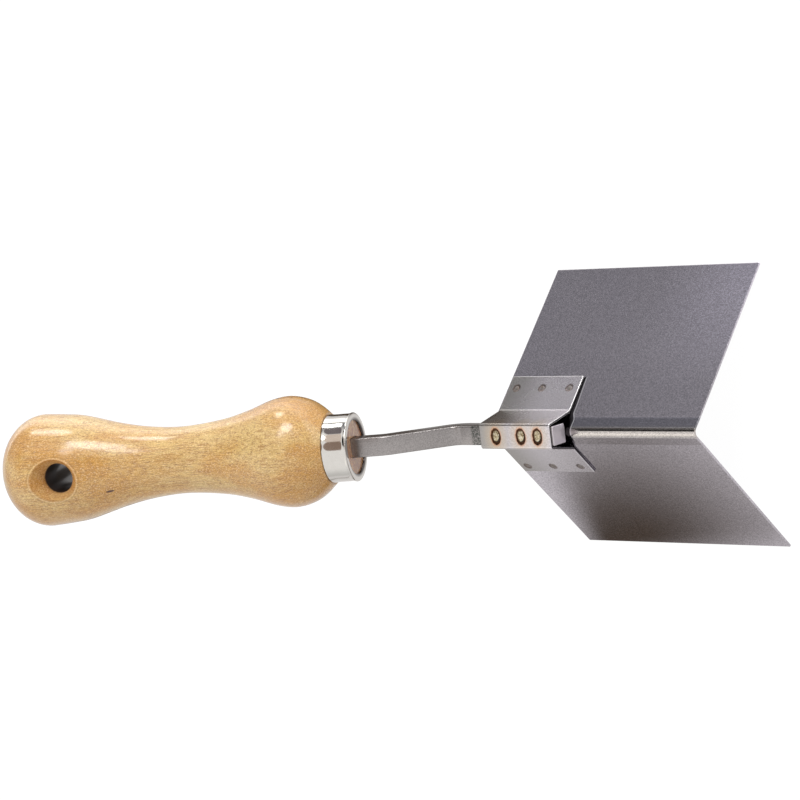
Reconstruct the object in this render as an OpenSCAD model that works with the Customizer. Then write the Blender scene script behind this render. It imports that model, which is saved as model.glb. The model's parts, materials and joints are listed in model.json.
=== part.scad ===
// Corner trowel with a V blade. A hat-section bracket is spot-welded over the blade's fold
// and holds a cranked bar shank, whose tang sits in a turned wooden handle with a ferrule.
//
// +X runs along the fold to the blade's free end, +Z points from the open side of the V
// towards the handle, and Y runs across. The origin is the middle of the inside corner line,
// where the two working faces would meet. The plane Y = 0 halves the V, the bar and the handle.

/* [Blade] */
// Length of the blade along its fold
blade_l = 101.6; // [80:0.1:150]
// Width of each leaf, from the outer corner to its free edge
leaf_w = 82.5; // [65:0.5:110]
// Angle between the two leaves
blade_angle = 90; // [88:1:94]
// Thickness of the blade's sheet
blade_t = 0.9; // [0.7:0.1:1.1]
// Outer radius of the fold
fold_r = 3.2; // [2.5:0.1:3.6]
// Distance of the press mark from the middle of the fold, along a leaf
press_w = 7.6; // [6.5:0.1:9]
// How many degrees steeper the strip beside the fold stands than its leaf
press_pinch = 1.5; // [0.5:0.1:2.5]

/* [Bracket] */
// Length of the bracket along the fold
bracket_l = 36.2; // [34:0.1:60]
// Thickness of the bracket's sheet
bracket_t = 1.0; // [0.8:0.1:1.2]
// Half width of the bracket's top plate, to the middle of its sheet
plate_half_w = 4.7; // [4.6:0.05:5.2]
// Distance of the flange's bend from the outer corner, along a leaf
flange_root = 10.2; // [9.8:0.1:12]
// Distance of the flange's free edge from the outer corner, along a leaf
flange_tip = 27.4; // [26:0.1:34]
// Distance of the bracket's rear edge from the blade's rear edge
bracket_inset = 1.3; // [0:0.1:10]

/* [Spot welds] */
// Radius of the nuggets that join the top plate to the shank
plate_weld_r = 2.8; // [2:0.1:3.2]
// Radius of the nuggets that join a flange to a leaf
flange_weld_r = 1.7; // [1:0.1:2.5]
// Distances of the top plate's nuggets from the bracket's rear edge
plate_weld_x = [8.3, 21.1, 29.6]; // [4:0.1:30]
// Distances of each flange's nuggets from the bracket's rear edge
flange_weld_x = [4.2, 17.4, 31.4]; // [3.5:0.1:31.5]
// Distances of the left and the right flange's nuggets from the outer corner, along a leaf
flange_weld_at = [21.4, 23.2]; // [20:0.1:23.4]
// How far a nugget's face lies below the sheet's face
weld_sink = 0.15; // [0:0.05:0.3]

/* [Shank] */
// Thickness of the bar
shank_t = 7.94; // [7:0.01:8]
// Width of the bar
shank_w = 7.94; // [7:0.01:8]
// Distance of the lower bend from the blade's rear edge
lower_bend_x = 13.5; // [10:0.5:30]
// Slope of the stretch between the two bends, in degrees
crank_angle = 48; // [40:1:55]
// Length of the stretch between the two bends
crank_l = 31.0; // [25:0.1:45]
// Distance from the upper bend to the ferrule's mouth
neck_l = 12.5; // [8:0.1:25]
// Centreline radius of the lower bend
lower_bend_r = 10; // [7:0.5:14]
// Centreline radius of the upper bend
upper_bend_r = 12; // [8:0.5:16]
// How far the tang reaches into the handle, from the ferrule's mouth
tang_l = 78; // [60:1:95]

/* [Ferrule] */
// Outer radius of the ferrule
ferrule_r = 14.3; // [13.8:0.1:14.6]
// Length of the ferrule
ferrule_l = 10.8; // [10:0.1:11.2]
// Radius of the opening in the ferrule's turned-in mouth
mouth_r = 11.2; // [10:0.1:11.6]
// Thickness of the ferrule's wall
ferrule_t = 0.8; // [0.6:0.1:1]

/* [Handle] */
// Slope of the handle above the fold, in degrees
handle_angle = 23; // [15:1:35]
// Radius at the widest point of the front swell
front_swell_r = 23.1; // [22:0.1:24]
// Radius at the waist
waist_r = 14.1; // [13:0.1:15]
// Radius at the widest point of the butt
butt_r = 23.8; // [23:0.1:26]
// Distance of the butt's widest point from the ferrule's mouth
butt_at = 138; // [136:1:145]
// Length of the domed end behind the butt's widest point
dome_l = 19.5; // [18:0.1:24]
// Radius of the hang hole
hang_r = 6.35; // [5:0.05:7]
// Distance of the hang hole's axis from the ferrule's mouth
hang_at = 127; // [124:1:132]
// How far the hang hole is turned about the handle's axis, in degrees
hang_turn = 3.5; // [0:0.5:10]
// Radius of the hang hole's countersink at the handle's surface
sink_r = 10.3; // [8:0.1:11]
// Depth of the countersink below the handle's surface
sink_depth = 6; // [4:0.5:8]

/* [Hidden] */
$fn = 96;
BEND_STEPS = 10;
half_angle = blade_angle / 2;
blade_rear = -blade_l / 2;

// Unit vectors in the (Y, Z) section: down the +Y leaf, and out of its outer face
leaf_dir = [sin(half_angle), -cos(half_angle)];
leaf_out = [cos(half_angle), sin(half_angle)];
outer_corner = [0, blade_t / sin(half_angle)];

// Middle line of the +Y leaf, from the fold's corner over the press mark to the free edge
leaf_origin = outer_corner / 2;
press_point = leaf_origin + press_w * leaf_dir;
free_edge = leaf_origin + (leaf_w - blade_t / 2 / tan(half_angle)) * leaf_dir;
fold_corner = [0, press_point[1] + press_point[0] / tan(half_angle - press_pinch)];
fold_mid_r = fold_r - blade_t / 2;
press_r = 6;

// Top of the fold's round outer face, where the shank lies just clear of the blade
fold_top = fold_corner[1] - fold_mid_r / sin(half_angle - press_pinch) + fold_r;
shank_gap = 0.1;
shank_low = fold_top + shank_gap;
shank_top = shank_low + shank_t;
plate_top = shank_top + bracket_t;

// Middle line of the bracket's +Y half
bracket_rear = blade_rear + bracket_inset;
crease_inside_r = 0.1;
bracket_crease_r = bracket_t / 2 + crease_inside_r;
bracket_root_r = 2.5;
flange_end = outer_corner + flange_tip * leaf_dir + bracket_t / 2 * leaf_out;
flange_bend = outer_corner + flange_root * leaf_dir + bracket_t / 2 * leaf_out;
plate_corner = [plate_half_w, plate_top - bracket_t / 2];

// Middle line of the bar, in the (X, Z) side view
shank_proud = 0.9;
shank_mid = shank_low + shank_t / 2;
shank_end = [bracket_rear + bracket_l + shank_proud, shank_mid];
lower_bend = [blade_rear - lower_bend_x, shank_mid];
upper_bend = lower_bend + crank_l * [-cos(crank_angle), sin(crank_angle)];
handle_dir = [-cos(handle_angle), sin(handle_angle)];
mouth = upper_bend + neck_l * handle_dir;

// The tang keeps the bar's full section down to tang_full and tapers to tang_tip
tang_full = 24;
tang_tip = [3.2, 4];
tang_slack = 0.15;
tang_overlap = 4;

// The ferrule's front edge turns in to a flat lip, and the handle's end face lies behind it
lip_t = 1.0;
lip_corner_r = 0.7;
lip_edge_r = 0.3;
neck_end = lip_t;
press_gap = 0.05;
neck_r = ferrule_r - ferrule_t - press_gap;
ferrule_waist = 0.2;
shoulder_at = ferrule_l + press_gap;
hang_surface_r = butt_r - 0.2;

// Outline of the handle from the shoulder to the butt, as [distance from the mouth, radius]
shoulder = [
    [shoulder_at, ferrule_r + 0.7],
    [14.5, 18.3],
    [18.5, 20.9],
    [23.5, front_swell_r - 0.5],
];
grip = [
    [29, front_swell_r],
    [36, 21.8],
    [46, 18.5],
    [58, waist_r + 1.6],
    [75, waist_r],
    [90, waist_r + 0.9],
    [104, 17.6],
    [120, 21.9],
    [129, butt_r - 0.7],
    [butt_at, butt_r],
];
SPLINE_STEPS = 4;
DOME_STEPS = 14;

// ---- Geometry helpers ----

function unit(v) = v / norm(v);
function left_of(v) = [-v[1], v[0]];
function spin(v, a) = [v[0] * cos(a) - v[1] * sin(a), v[0] * sin(a) + v[1] * cos(a)];
function mirrored(path) = [for (i = [len(path) - 1:-1:0]) [-path[i][0], path[i][1]]];

// Angle turned at the middle one of three points, positive to the left
function turn_at(a, b, c) = let (u = b - a, v = c - b) atan2(cross(u, v), u * v);

// Points round a bend at b, on the line that lies d to the left of the middle line
function bend_points(a, b, c, r, d) =
    let (turn = turn_at(a, b, c), side = sign(turn), u = unit(b - a))
    let (start = b - u * r * tan(abs(turn) / 2))
    let (centre = start + side * r * left_of(u))
    [for (k = [0:BEND_STEPS]) centre + (d - side * r) * spin(left_of(u), turn * k / BEND_STEPS)];

// The line that lies d to the left of a bent middle line
function beside(path, radii, d) =
    let (last = len(path) - 1)
    concat(
        [path[0] + d * left_of(unit(path[1] - path[0]))],
        [for (i = [1:last - 1], p = bend_points(path[i - 1], path[i], path[i + 1], radii[i - 1], d)) p],
        [path[last] + d * left_of(unit(path[last] - path[last - 1]))]
    );

function reversed(list) = [for (i = [len(list) - 1:-1:0]) list[i]];

// Outline of sheet or bar of thickness t bent along a middle line
function strip(path, radii, t) =
    concat(beside(path, radii, t / 2), reversed(beside(path, radii, -t / 2)));

// A smooth curve through a list of points
function curve_point(a, b, c, d, u) =
    (2 * b + (c - a) * u + (2 * a - 5 * b + 4 * c - d) * u * u
        + (3 * b - a - 3 * c + d) * u * u * u) / 2;
function curve_through(p) = [
    for (i = [0:len(p) - 2], k = [0:SPLINE_STEPS - 1])
        curve_point(p[max(i - 1, 0)], p[i], p[i + 1], p[min(i + 2, len(p) - 1)], k / SPLINE_STEPS)
];

// Extrudes an outline drawn in the (Y, Z) section along X
module along_x(x, l) {
    translate([x, 0, 0]) rotate([90, 0, 90]) linear_extrude(l) children();
}

// Extrudes an outline drawn in the (X, Z) side view evenly to both sides
module across_y(w) {
    rotate([90, 0, 0]) linear_extrude(w, center = true) children();
}

// Frame of the handle: the origin is the ferrule's mouth, and Z runs towards the butt
module in_handle() {
    translate([mouth[0], 0, mouth[1]]) rotate([0, handle_angle - 90, 0]) children();
}

// Frame of a leaf's outer face: X along the fold, Y down the leaf and Z out of the face.
// side is 1 for the +Y leaf and -1 for the other.
module on_leaf(side) {
    mirror([0, side > 0 ? 0 : 1, 0])
        translate([0, outer_corner[0], outer_corner[1]])
            rotate([-(90 - half_angle), 0, 0]) children();
}

// ---- Blade ----

module blade() {
    half = [free_edge, press_point];
    path = concat(half, [fold_corner], mirrored(half));
    color("#86838b")
        along_x(blade_rear, blade_l)
            polygon(strip(path, [press_r, fold_mid_r, press_r], blade_t));
}

// ---- Bracket ----

module plate_weld_bores(r, low, high) {
    for (x = plate_weld_x)
        translate([bracket_rear + x, 0, low]) cylinder(h = high - low, r = r);
}

module flange_weld_bores(side, r, low, high) {
    on_leaf(side)
        for (x = flange_weld_x)
            translate([bracket_rear + x, flange_weld_at[side > 0 ? 0 : 1], low])
                cylinder(h = high - low, r = r);
}

module bracket() {
    half = [flange_end, flange_bend, plate_corner];
    radii = [bracket_root_r, bracket_crease_r, bracket_crease_r, bracket_root_r];
    color("#aaa5a3")
        difference() {
            along_x(bracket_rear, bracket_l)
                polygon(strip(concat(half, mirrored(half)), radii, bracket_t));
            plate_weld_bores(plate_weld_r, shank_top - 1, plate_top + 1);
            for (side = [-1, 1])
                flange_weld_bores(side, flange_weld_r, -blade_t / 2, bracket_t + 1);
        }
}

// ---- Spot welds ----

module shank_welds() {
    color("#a98a62") plate_weld_bores(plate_weld_r, shank_top, plate_top - weld_sink);
}

module flange_welds(side) {
    color("#8d8784") flange_weld_bores(side, flange_weld_r, 0, bracket_t - weld_sink);
}

module left_flange_welds() {
    flange_welds(1);
}

module right_flange_welds() {
    flange_welds(-1);
}

// ---- Shank ----

// Half outline of the tang in one direction, as [half width, distance from the mouth]
function tang_outline(full, tip, start, slack) = let (f = full / 2 + slack, t = tip / 2 + slack) [
    [-f, start], [f, start], [f, tang_full], [t, tang_l + slack],
    [-t, tang_l + slack], [-f, tang_full],
];

// The tang's tapered end. slack grows it into the hole that receives it.
module tang(start, slack) {
    intersection() {
        across_y(2 * shank_w) polygon(tang_outline(shank_t, tang_tip[0], start, slack));
        rotate([0, 0, 90])
            across_y(2 * shank_w) polygon(tang_outline(shank_w, tang_tip[1], start, slack));
    }
}

module shank() {
    path = [shank_end, lower_bend, upper_bend, mouth + (tang_full - tang_overlap / 2) * handle_dir];
    color("#8b878a")
        union() {
            across_y(shank_w) polygon(strip(path, [lower_bend_r, upper_bend_r], shank_t));
            in_handle() tang(tang_full - tang_overlap, 0);
        }
}

// ---- Ferrule ----

// Outline of the wall and its flat lip, as [radius, distance from the mouth]
function ferrule_outline() = concat(
    [for (a = [0:30:90])
        [mouth_r + lip_edge_r - lip_edge_r * cos(a), lip_edge_r - lip_edge_r * sin(a)]],
    [for (a = [0:15:90])
        [ferrule_r - lip_corner_r + lip_corner_r * sin(a), lip_corner_r - lip_corner_r * cos(a)]],
    [for (k = [1:4])
        [ferrule_r - ferrule_waist * sin(45 * k), lip_corner_r + (ferrule_l - lip_corner_r) * k / 4]],
    [[neck_r + press_gap, ferrule_l], [neck_r + press_gap, neck_end], [mouth_r, neck_end]]
);

module ferrule() {
    color("#d9dade") in_handle() rotate_extrude() polygon(ferrule_outline());
}

// ---- Handle ----

function handle_outline() = concat(
    [[0, neck_end], [neck_r, neck_end], [neck_r, shoulder_at]],
    [for (p = curve_through(concat(shoulder, grip))) [p[1], p[0]]],
    [for (k = [0:DOME_STEPS]) let (a = 90 * k / DOME_STEPS) [butt_r * cos(a), butt_at + dome_l * sin(a)]]
);

// The hang hole runs across the handle's axis, with a countersink at each mouth
module hang_hole() {
    flare = (sink_r - hang_r) / sink_depth;
    translate([0, 0, hang_at])
        rotate([0, 90, -hang_turn]) {
            cylinder(h = 3 * butt_r, r = hang_r, center = true);
            for (side = [-1, 1])
                mirror([0, 0, side > 0 ? 0 : 1])
                    translate([0, 0, hang_surface_r - sink_depth])
                        cylinder(h = 2 * sink_depth, r1 = hang_r, r2 = hang_r + 2 * sink_depth * flare);
        }
}

module handle() {
    color("#dcae66")
        in_handle()
            difference() {
                rotate_extrude() polygon(handle_outline());
                tang(-1, tang_slack);
                hang_hole();
            }
}

blade();
bracket();
shank();
shank_welds();
left_flange_welds();
right_flange_welds();
ferrule();
handle();
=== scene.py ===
import bmesh
import bpy
import json
import math
from mathutils import Matrix, Vector


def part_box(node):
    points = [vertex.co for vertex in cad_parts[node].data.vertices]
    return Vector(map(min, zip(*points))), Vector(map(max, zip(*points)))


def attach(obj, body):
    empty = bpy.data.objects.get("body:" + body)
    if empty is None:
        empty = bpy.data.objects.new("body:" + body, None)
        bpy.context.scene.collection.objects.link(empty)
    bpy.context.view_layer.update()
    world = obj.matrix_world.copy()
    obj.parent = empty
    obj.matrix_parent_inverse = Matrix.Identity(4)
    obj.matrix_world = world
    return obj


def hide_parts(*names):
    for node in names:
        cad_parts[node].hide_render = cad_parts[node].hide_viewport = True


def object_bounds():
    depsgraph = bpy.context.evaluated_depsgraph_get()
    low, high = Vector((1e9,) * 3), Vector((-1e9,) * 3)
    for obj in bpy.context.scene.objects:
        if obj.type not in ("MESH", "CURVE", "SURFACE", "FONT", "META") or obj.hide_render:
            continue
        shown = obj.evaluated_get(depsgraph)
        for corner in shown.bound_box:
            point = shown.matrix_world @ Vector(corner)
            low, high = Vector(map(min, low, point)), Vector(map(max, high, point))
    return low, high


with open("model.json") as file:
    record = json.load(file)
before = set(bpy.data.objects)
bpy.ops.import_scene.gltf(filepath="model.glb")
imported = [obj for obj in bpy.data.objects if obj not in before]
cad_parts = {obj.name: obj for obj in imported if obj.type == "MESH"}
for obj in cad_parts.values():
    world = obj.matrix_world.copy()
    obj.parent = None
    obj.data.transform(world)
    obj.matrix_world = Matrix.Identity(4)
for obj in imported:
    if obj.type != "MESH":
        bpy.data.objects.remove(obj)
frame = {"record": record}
cad_low, cad_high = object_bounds()

# ---------------------------------------------------------------------------
# Sizes. The frame gives the places; these are the CAD's own dimensions, in mm.
# ---------------------------------------------------------------------------

MM = 0.001
HALF_ANGLE = math.radians(45)

BLADE_T = 0.9
FOLD_R = 3.2
PRESS_AT = 7.6
PRESS_R = 6.0
PRESS_PINCH = math.radians(1.5)
LEAF_W = 82.5

BRACKET_T = 1.0
PLATE_HALF_W = 4.7
FLANGE_ROOT = 10.2
FLANGE_TIP = 27.4
ROOT_R = 2.5
CREASE_R = 0.6
PLATE_WELD_X = (8.3, 21.1, 29.6)
FLANGE_WELD_X = (4.2, 17.4, 31.4)
FLANGE_WELD_AT = (21.4, 23.2)

BAR = 7.94
BAR_EDGE_R = 0.55
LOWER_BEND_X = -64.3
LOWER_BEND_R = 10.0
CRANK_ANGLE = math.radians(48)
CRANK_L = 31.0
UPPER_BEND_R = 12.0
NECK_L = 12.5
TANG_FULL = 24.0
TANG_L = 78.0

HANDLE_ANGLE = math.radians(23)
FERRULE_R = 14.3
FERRULE_L = 10.8
FERRULE_T = 0.8
FERRULE_WAIST = 0.3
MOUTH_R = 11.2
LIP_CORNER_R = 0.7
NECK_END = 1.0
NECK_FIT = 0.05
NECK_R = FERRULE_R - FERRULE_T - NECK_FIT
BUTT_R = 23.8
BUTT_AT = 138.0
DOME_L = 19.45
SINK_R = 10.3
SINK_DEPTH = 6.0
GRIP = [(10.85, 15.0), (14.5, 18.3), (18.5, 20.9), (23.5, 22.6), (29, 23.1), (36, 21.8), (46, 18.5),
        (58, 15.7), (75, 14.1), (90, 15.0), (104, 17.6), (120, 21.9), (129, 23.1), (BUTT_AT, BUTT_R)]

# ---------------------------------------------------------------------------
# Details that the looks add, in mm, and how finely the round shapes are stepped.
# ---------------------------------------------------------------------------

GUARD = 0.35                    # how close to an end the extra line of points lies
ONE_SPAN = 1000.0               # a spacing longer than any piece: no points between the ends
SHEET_SPACING = 0.3             # close enough for the points to carry the dents of the welds
ROUND_STEPS = 160
HOLE_STEPS = 96
BUTT_STEPS = 40
GRIP_STEPS = 10
LIP_STEPS = 24
BEND_STEPS = 16
CREASE_STEPS = 8
CRANK_STEPS = 20
CORNER_STEPS = 4
SHARP = math.radians(35)        # edges sharper than this stay sharp on the bar and the ferrule
BLADE_EDGE_R = 0.12
BRACKET_EDGE_R = 0.36

RING_X, RING_Y = 2.45, 3.45     # half axes of the burnt ring round a weld of the top plate
NUGGET_SHARE = 0.8              # the nugget's half axes, as a share of the ring's
PLATE_NUGGET_H = 0.42
PLATE_NUGGET_BASE = 0.5         # how far under the plate's outer face the nugget starts
# A dent has its full depth within the first distance and ends at the second. The depth comes third.
PLATE_DENT = (0.84, 1.05, 0.3)  # distances as shares of the ring, depth in mm
FLANGE_MARK_R = 1.9
FLANGE_NUGGET_R = 1.3
FLANGE_NUGGET_H = 0.2
FLANGE_NUGGET_BASE = 0.24
FLANGE_DENT = (0.8, 2.0, 0.16)  # all in mm

LIP_FLARE = 1.7                 # how long the ferrule's waist takes to ease out at each end
REAR_FLARE = 3.4

BAR_END_R = 0.4
TANG_INSET = 2.2                # how far the tang's end is in from the bar's sides
TANG_PLAY = 0.15
RIM_R = 0.5                     # rounding where a countersink meets the handle's outside
RIM_DEPTH = 16                  # where that rim lies: at least this deep from the middle, in this band
RIM_BAND = (7.5, 13)
FLECK_AT = 105.2                # the dark streak in the wood: along the handle, turned, and out
FLECK_TURN = math.radians(332)
FLECK_OUT = 17.9
FLECK_SIZE = (0.6, 0.6, 4.0)

# ---------------------------------------------------------------------------
# Studio: directions and places in the row frame, angles in degrees, lengths in metres.
# ---------------------------------------------------------------------------

BLACK = (0, 0, 0, 1)
WHITE = (1, 1, 1, 1)
HORIZON_LEFT = (0.27, 0.265, 0.285, 1)
HORIZON_RIGHT = (0.72, 0.71, 0.70, 1)
DOME = (1.05, 1.03, 1.02, 1)
# Towards, half width, softness, light. A later card covers an earlier one.
CARDS = [
    ((-0.65, -0.45, 0.60), 8, 9, (1.38, 1.35, 1.3, 1)),
    ((-0.65, 0.60, 0.46), 5, 6, (0.12, 0.10, 0.09, 1)),
    ((-0.18, 0.89, 0.41), 10, 2, (0.22, 0.19, 0.20, 1)),
    ((-0.045, 0.66, 0.75), 12, 2, (0.82, 0.69, 0.61, 1)),
    ((0.04, 0.28, 0.96), 13, 2, (0.33, 0.235, 0.19, 1)),
    ((-0.53, 0.36, 0.76), 12, 4, (0.02, 0.02, 0.02, 1)),
    ((0.62, 0.40, 0.68), 13, 4, (0.02, 0.02, 0.02, 1)),
    ((0.28, 0.87, 0.40), 8, 3, (13, 13, 12.8, 1)),
    ((0.20, 0.73, 0.65), 4, 4, (9, 9, 8.8, 1)),
    ((-0.37, 0.93, 0.02), 4, 3, (2, 2, 2, 1)),
    ((-0.23, 0.97, 0.02), 6, 4, (11, 11, 10.8, 1)),
]

PLANE_HALF = 3.0
FLOOR_GAP = 0.0002
FLOOR_GLOW = 0.96
TABLE_GAP = 0.0004
# The table top's glow: zones of painted light, its painted shadow colour and a lamp.
TABLE_NEAR = (0.85, 0.825, 0.82, 1)
TABLE_MIDDLE = (2.4, 2.36, 2.3, 1)
TABLE_FAR = (0.5, 0.5, 0.5, 1)
TABLE_SHADOW = (0.09, 0.068, 0.05, 1)
TABLE_LAMP = (9, 9, 9, 1)
LAMP_SPOT = (0.29, 0.40, 0.04, 0.08)
# Painted shadows of the tool on the table: x, y, the radius of the full shadow, the radius where it ends.
SHADOW_SPOTS = [
    (-0.118, 0.050, 0.018, 0.05),
    (-0.19, 0.03, 0.045, 0.065),
    (-0.35, -0.05, 0.04, 0.07),
]
# The painted cast shadow of the tool, as a strip on the table: where it starts, and its directions along and
# across.
SHADOW_STRIP_START = (-0.050, -0.062, 0)
SHADOW_STRIP_ALONG = (-0.66, -0.75, 0)
SHADOW_STRIP_ACROSS = (0.75, -0.66, 0)

CAMERA_TARGET = Vector((-0.08602, 0.01607, 0.01356))
CAMERA_AZIMUTH = math.radians(102.20)
CAMERA_ELEVATION = math.radians(48.33)
CAMERA_ROLL = math.radians(7.17)
CAMERA_DISTANCE = 1.27035
CAMERA_LENS = 138.15


def box_mm(node):
    low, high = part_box(node)
    return low / MM, high / MM


blade_low, blade_high = box_mm("blade")
bracket_low, bracket_high = box_mm("bracket")
shank_end_x = box_mm("shank")[1].x
hang = next(m for m in frame["record"]["mounts"] if m["name"] == "hang_hole")
hang_centre = Vector(hang["pos_m"]) / MM
hang_axis = Vector(hang["axis"]).normalized()
hang_r = hang["dims"]["r_mm"]
SINK_SLOPE = (SINK_R - hang_r) / SINK_DEPTH

handle_dir = Vector((-math.cos(HANDLE_ANGLE), 0, math.sin(HANDLE_ANGLE)))
handle_up = Vector((math.sin(HANDLE_ANGLE), 0, math.cos(HANDLE_ANGLE)))
ACROSS = Vector((0, 1, 0))
leaf_down = Vector((math.sin(HALF_ANGLE), -math.cos(HALF_ANGLE)))
leaf_out = Vector((math.cos(HALF_ANGLE), math.sin(HALF_ANGLE)))
outer_corner = Vector((0, BLADE_T / math.sin(HALF_ANGLE)))
shank_mid = bracket_high.z - BRACKET_T - BAR / 2
upper_bend = Vector((LOWER_BEND_X - CRANK_L * math.cos(CRANK_ANGLE),
                     shank_mid + CRANK_L * math.sin(CRANK_ANGLE)))
mouth = Vector((upper_bend.x, 0, upper_bend.y)) + NECK_L * handle_dir


# ---------------------------------------------------------------------------
# Mesh helpers
# ---------------------------------------------------------------------------

def left_of(v):
    return Vector((-v.y, v.x))


def turned(v, angle):
    c, s = math.cos(angle), math.sin(angle)
    return Vector((v.x * c - v.y * s, v.x * s + v.y * c))


def evenly(a, b, spacing):
    """Values from a to b, with one more close to each end so that a bend shades only itself."""
    count = max(1, round((b - a) / spacing))
    inner = [a + (b - a) * k / count for k in range(1, count)]
    return [a, a + GUARD] + [v for v in inner if a + GUARD < v < b - GUARD] + [b - GUARD, b]


def straight(a, b, spacing):
    """Stations from a to b as (point, left-hand normal)."""
    length = (b - a).length
    normal = left_of((b - a).normalized())
    return [(a.lerp(b, d / length), normal) for d in evenly(0, length, spacing)]


def bent_line(corners, radii, arc_steps, spacing=ONE_SPAN):
    """Stations along a line of straights and round bends."""
    stations, start = [], corners[0]
    for a, b, c, radius in zip(corners, corners[1:], corners[2:], radii):
        u, v = (b - a).normalized(), (c - b).normalized()
        turn = math.atan2(u.x * v.y - u.y * v.x, u.dot(v))
        cut = radius * math.tan(abs(turn) / 2)
        side = math.copysign(1, turn)
        stations += straight(start, b - u * cut, spacing)
        centre = b - u * cut + side * radius * left_of(u)
        for k in range(1, arc_steps):
            normal = turned(left_of(u), turn * k / arc_steps)
            stations.append((centre - side * radius * normal, normal))
        start = b + v * cut
    return stations + straight(start, corners[-1], spacing)


def mirrored(corners):
    return [Vector((-p.x, p.y)) for p in reversed(corners)]


def new_object(name, verts, faces):
    """An object with a smooth-shaded mesh, from points in mm in the row frame."""
    mesh = bpy.data.meshes.new(name)
    mesh.from_pydata([Vector(v) * MM for v in verts], [], faces)
    bm = bmesh.new()
    bm.from_mesh(mesh)
    bmesh.ops.recalc_face_normals(bm, faces=bm.faces)
    bm.to_mesh(mesh)
    bm.free()
    mesh.shade_smooth()
    obj = bpy.data.objects.new(name, mesh)
    bpy.context.scene.collection.objects.link(obj)
    return obj


def apply_modifiers(obj):
    """Replaces the object's mesh by what its modifiers make of it."""
    graph = bpy.context.evaluated_depsgraph_get()
    mesh = bpy.data.meshes.new_from_object(obj.evaluated_get(graph))
    obj.modifiers.clear()
    obj.data = mesh
    return obj


def soften_edges(obj, width, segments=2, angle=40):
    """Rounds the edges that are sharper than angle, and keeps smooth shading elsewhere."""
    bevel = obj.modifiers.new("edges", "BEVEL")
    bevel.width = width * MM
    bevel.segments = segments
    bevel.limit_method = "ANGLE"
    bevel.angle_limit = math.radians(angle)
    bevel.harden_normals = False
    apply_modifiers(obj)
    obj.data.set_sharp_from_angle(angle=math.radians(angle))
    return obj


def sheet_mesh(name, stations, xs, thickness, dent=None):
    """A bent sheet. Its section's stations lie in (Y, Z). The outer face sinks in by dent(x, s) mm."""
    along = [0.0]
    for (p, _), (q, _) in zip(stations, stations[1:]):
        along.append(along[-1] + (q - p).length)
    middle = along[-1] / 2
    verts = []
    for face in (1, -1):
        for (p, n), s in zip(stations, along):
            for x in xs:
                sink = dent(x, middle - s) if dent and face == -1 else 0.0
                q = p + n * (face * thickness / 2 + sink)
                verts.append((x, q.x, q.y))
    rows, cols = len(stations), len(xs)
    at = lambda f, i, j: (f * rows + i) * cols + j
    faces = []
    for f in (0, 1):
        for i in range(rows - 1):
            for j in range(cols - 1):
                faces.append((at(f, i, j), at(f, i, j + 1), at(f, i + 1, j + 1), at(f, i + 1, j)))
    for i in range(rows - 1):
        for j in (0, cols - 1):
            faces.append((at(0, i, j), at(1, i, j), at(1, i + 1, j), at(0, i + 1, j)))
    for j in range(cols - 1):
        for i in (0, rows - 1):
            faces.append((at(0, i, j), at(1, i, j), at(1, i, j + 1), at(0, i, j + 1)))
    return new_object(name, verts, faces)


def revolve_mesh(name, outline, origin, axis, up, segments):
    """Turns an outline of (distance along axis, radius) round axis. A radius of 0 closes it."""
    side = axis.cross(up)
    verts, rings = [], []
    for s, r in outline:
        if r < 1e-6:
            rings.append([len(verts)])
            verts.append(origin + axis * s)
            continue
        rings.append(list(range(len(verts), len(verts) + segments)))
        for k in range(segments):
            a = 2 * math.pi * k / segments
            verts.append(origin + axis * s + (up * math.cos(a) + side * math.sin(a)) * r)
    faces = []
    for a, b in zip(rings, rings[1:]):
        for k in range(segments):
            m = (k + 1) % segments
            if len(a) == 1:
                faces.append((a[0], b[m], b[k]))
            elif len(b) == 1:
                faces.append((a[k], a[m], b[0]))
            else:
                faces.append((a[k], a[m], b[m], b[k]))
    return new_object(name, verts, faces)


def smooth_curve(points, steps):
    """A Catmull-Rom curve through (s, r) points."""
    curve = []
    for i in range(len(points) - 1):
        a, b = points[max(i - 1, 0)], points[i]
        c, d = points[i + 1], points[min(i + 2, len(points) - 1)]
        for k in range(steps):
            u = k / steps
            curve.append(tuple(
                (2 * b[j] + (c[j] - a[j]) * u + (2 * a[j] - 5 * b[j] + 4 * c[j] - d[j]) * u * u
                 + (3 * b[j] - a[j] - 3 * c[j] + d[j]) * u ** 3) / 2 for j in (0, 1)))
    return curve + [points[-1]]


def cut_away(obj, cutter):
    cut = obj.modifiers.new("cut", "BOOLEAN")
    cut.operation = "DIFFERENCE"
    cut.solver = "EXACT"
    cut.object = cutter
    apply_modifiers(obj)
    bpy.data.objects.remove(cutter)
    return obj


# ---------------------------------------------------------------------------
# Node helpers
# ---------------------------------------------------------------------------

def linear(r, g, b):
    """A colour given as 0-255 sRGB, in linear light."""
    return tuple(c / 255 / 12.92 if c <= 10 else ((c / 255 + 0.055) / 1.055) ** 2.4 for c in (r, g, b)) + (1,)


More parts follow.
